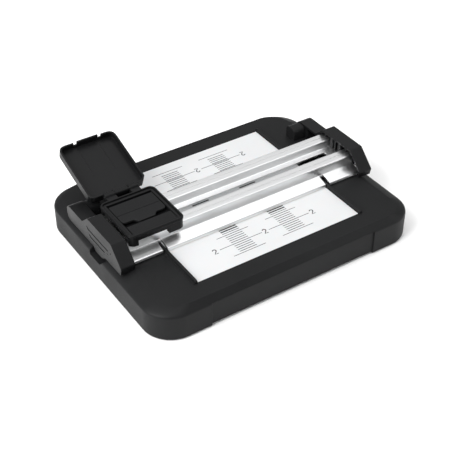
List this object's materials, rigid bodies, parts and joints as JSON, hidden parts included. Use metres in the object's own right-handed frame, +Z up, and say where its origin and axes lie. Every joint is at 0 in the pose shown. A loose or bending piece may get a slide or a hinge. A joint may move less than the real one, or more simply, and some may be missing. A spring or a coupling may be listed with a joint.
{
  "type": "film cutter with light panel",
  "caption": "Desktop film cutter: flat black base with a white light panel, a hinged slotted aluminium rail across it, and a sliding blade carriage with an open lid.",
  "frame": {"origin": "centre of the footprint, on the table under the feet", "axes": "+X along the rail towards the hand side of the slot's free end, +Y towards the hinge at the back, +Z up"},
  "size_m": [0.199, 0.152, 0.0552],
  "materials": {
    "housing": "fine moulded texture, charcoal black",
    "carriage_plastic": "satin, near black",
    "opal": "milky white diffuser, satin",
    "clear_plastic": "clear, polished",
    "white_plastic": "white, satin",
    "rubber": "matte black",
    "aluminium": "polished extrusion",
    "steel": "plain bright steel",
    "circuit_board": "green solder mask"
  },
  "bodies": {
    "base": {"top_cover": "housing", "bottom_cover": "housing", "foot_left_front": "rubber", "foot_left_rear": "rubber", "foot_right_front": "rubber", "foot_right_rear": "rubber", "housing_screw_1": "steel", "housing_screw_2": "steel", "housing_screw_3": "steel", "housing_screw_4": "steel", "housing_screw_5": "steel", "housing_screw_6": "steel", "diffuser": "opal", "cutting_strip": "clear_plastic", "light_guide": "clear_plastic", "reflector": "white_plastic", "light_strip_left": "white_plastic", "light_strip_right": "white_plastic", "panel_tray": "housing", "tray_screw_1": "steel", "tray_screw_2": "steel", "tray_screw_3": "steel", "tray_screw_4": "steel", "driver_board": "circuit_board", "board_screw_1": "steel", "board_screw_2": "steel", "power_socket": "steel", "button_switch": "housing", "hinge_post_left": "housing", "hinge_post_right": "housing", "hinge_pin_left": "steel", "hinge_pin_right": "steel"},
    "power_button": {"power_button": "carriage_plastic"},
    "rail": {"rail": "aluminium", "end_cap_left": "carriage_plastic", "end_cap_right": "carriage_plastic", "end_cap_screw_left_front": "steel", "end_cap_screw_left_rear": "steel", "end_cap_screw_right_front": "steel", "end_cap_screw_right_rear": "steel", "film_strip_front": "white_plastic", "film_strip_rear": "white_plastic"},
    "carriage": {"carriage_body": "carriage_plastic", "lid_pin": "steel", "press_spring_left": "steel", "press_spring_right": "steel", "glide_front": "white_plastic", "glide_rear": "white_plastic"},
    "blade_holder": {"blade_cartridge": "housing", "blade": "steel"},
    "lid": {"lid": "carriage_plastic"}
  },
  "joints": [
    {"name": "rail_lift", "type": "hinge", "parent": "base", "child": "rail", "pos_m": [0, 0.038, 0.027], "axis": [-1, 0, 0], "range_deg": [0, 38]},
    {"name": "carriage_slide", "type": "slide", "parent": "rail", "child": "carriage", "axis": [1, 0, 0], "range_m": [0, 0.132]},
    {"name": "lid_hinge", "type": "hinge", "parent": "carriage", "child": "lid", "pos_m": [-0.066, 0.0262, 0.0407], "axis": [1, 0, 0], "range_deg": [0, 162]},
    {"name": "blade_press", "type": "slide", "parent": "carriage", "child": "blade_holder", "axis": [0, 0, -1], "range_m": [0, 0.0015], "stiffness_N_per_m": 900, "springref_m": -0.001, "deforming": ["press_spring_left", "press_spring_right"]},
    {"name": "button_press", "type": "slide", "parent": "base", "child": "power_button", "axis": [0, -1, 0], "range_m": [0, 0.0008], "stiffness_N_per_m": 1500, "springref_m": -0.0003}
  ]
}
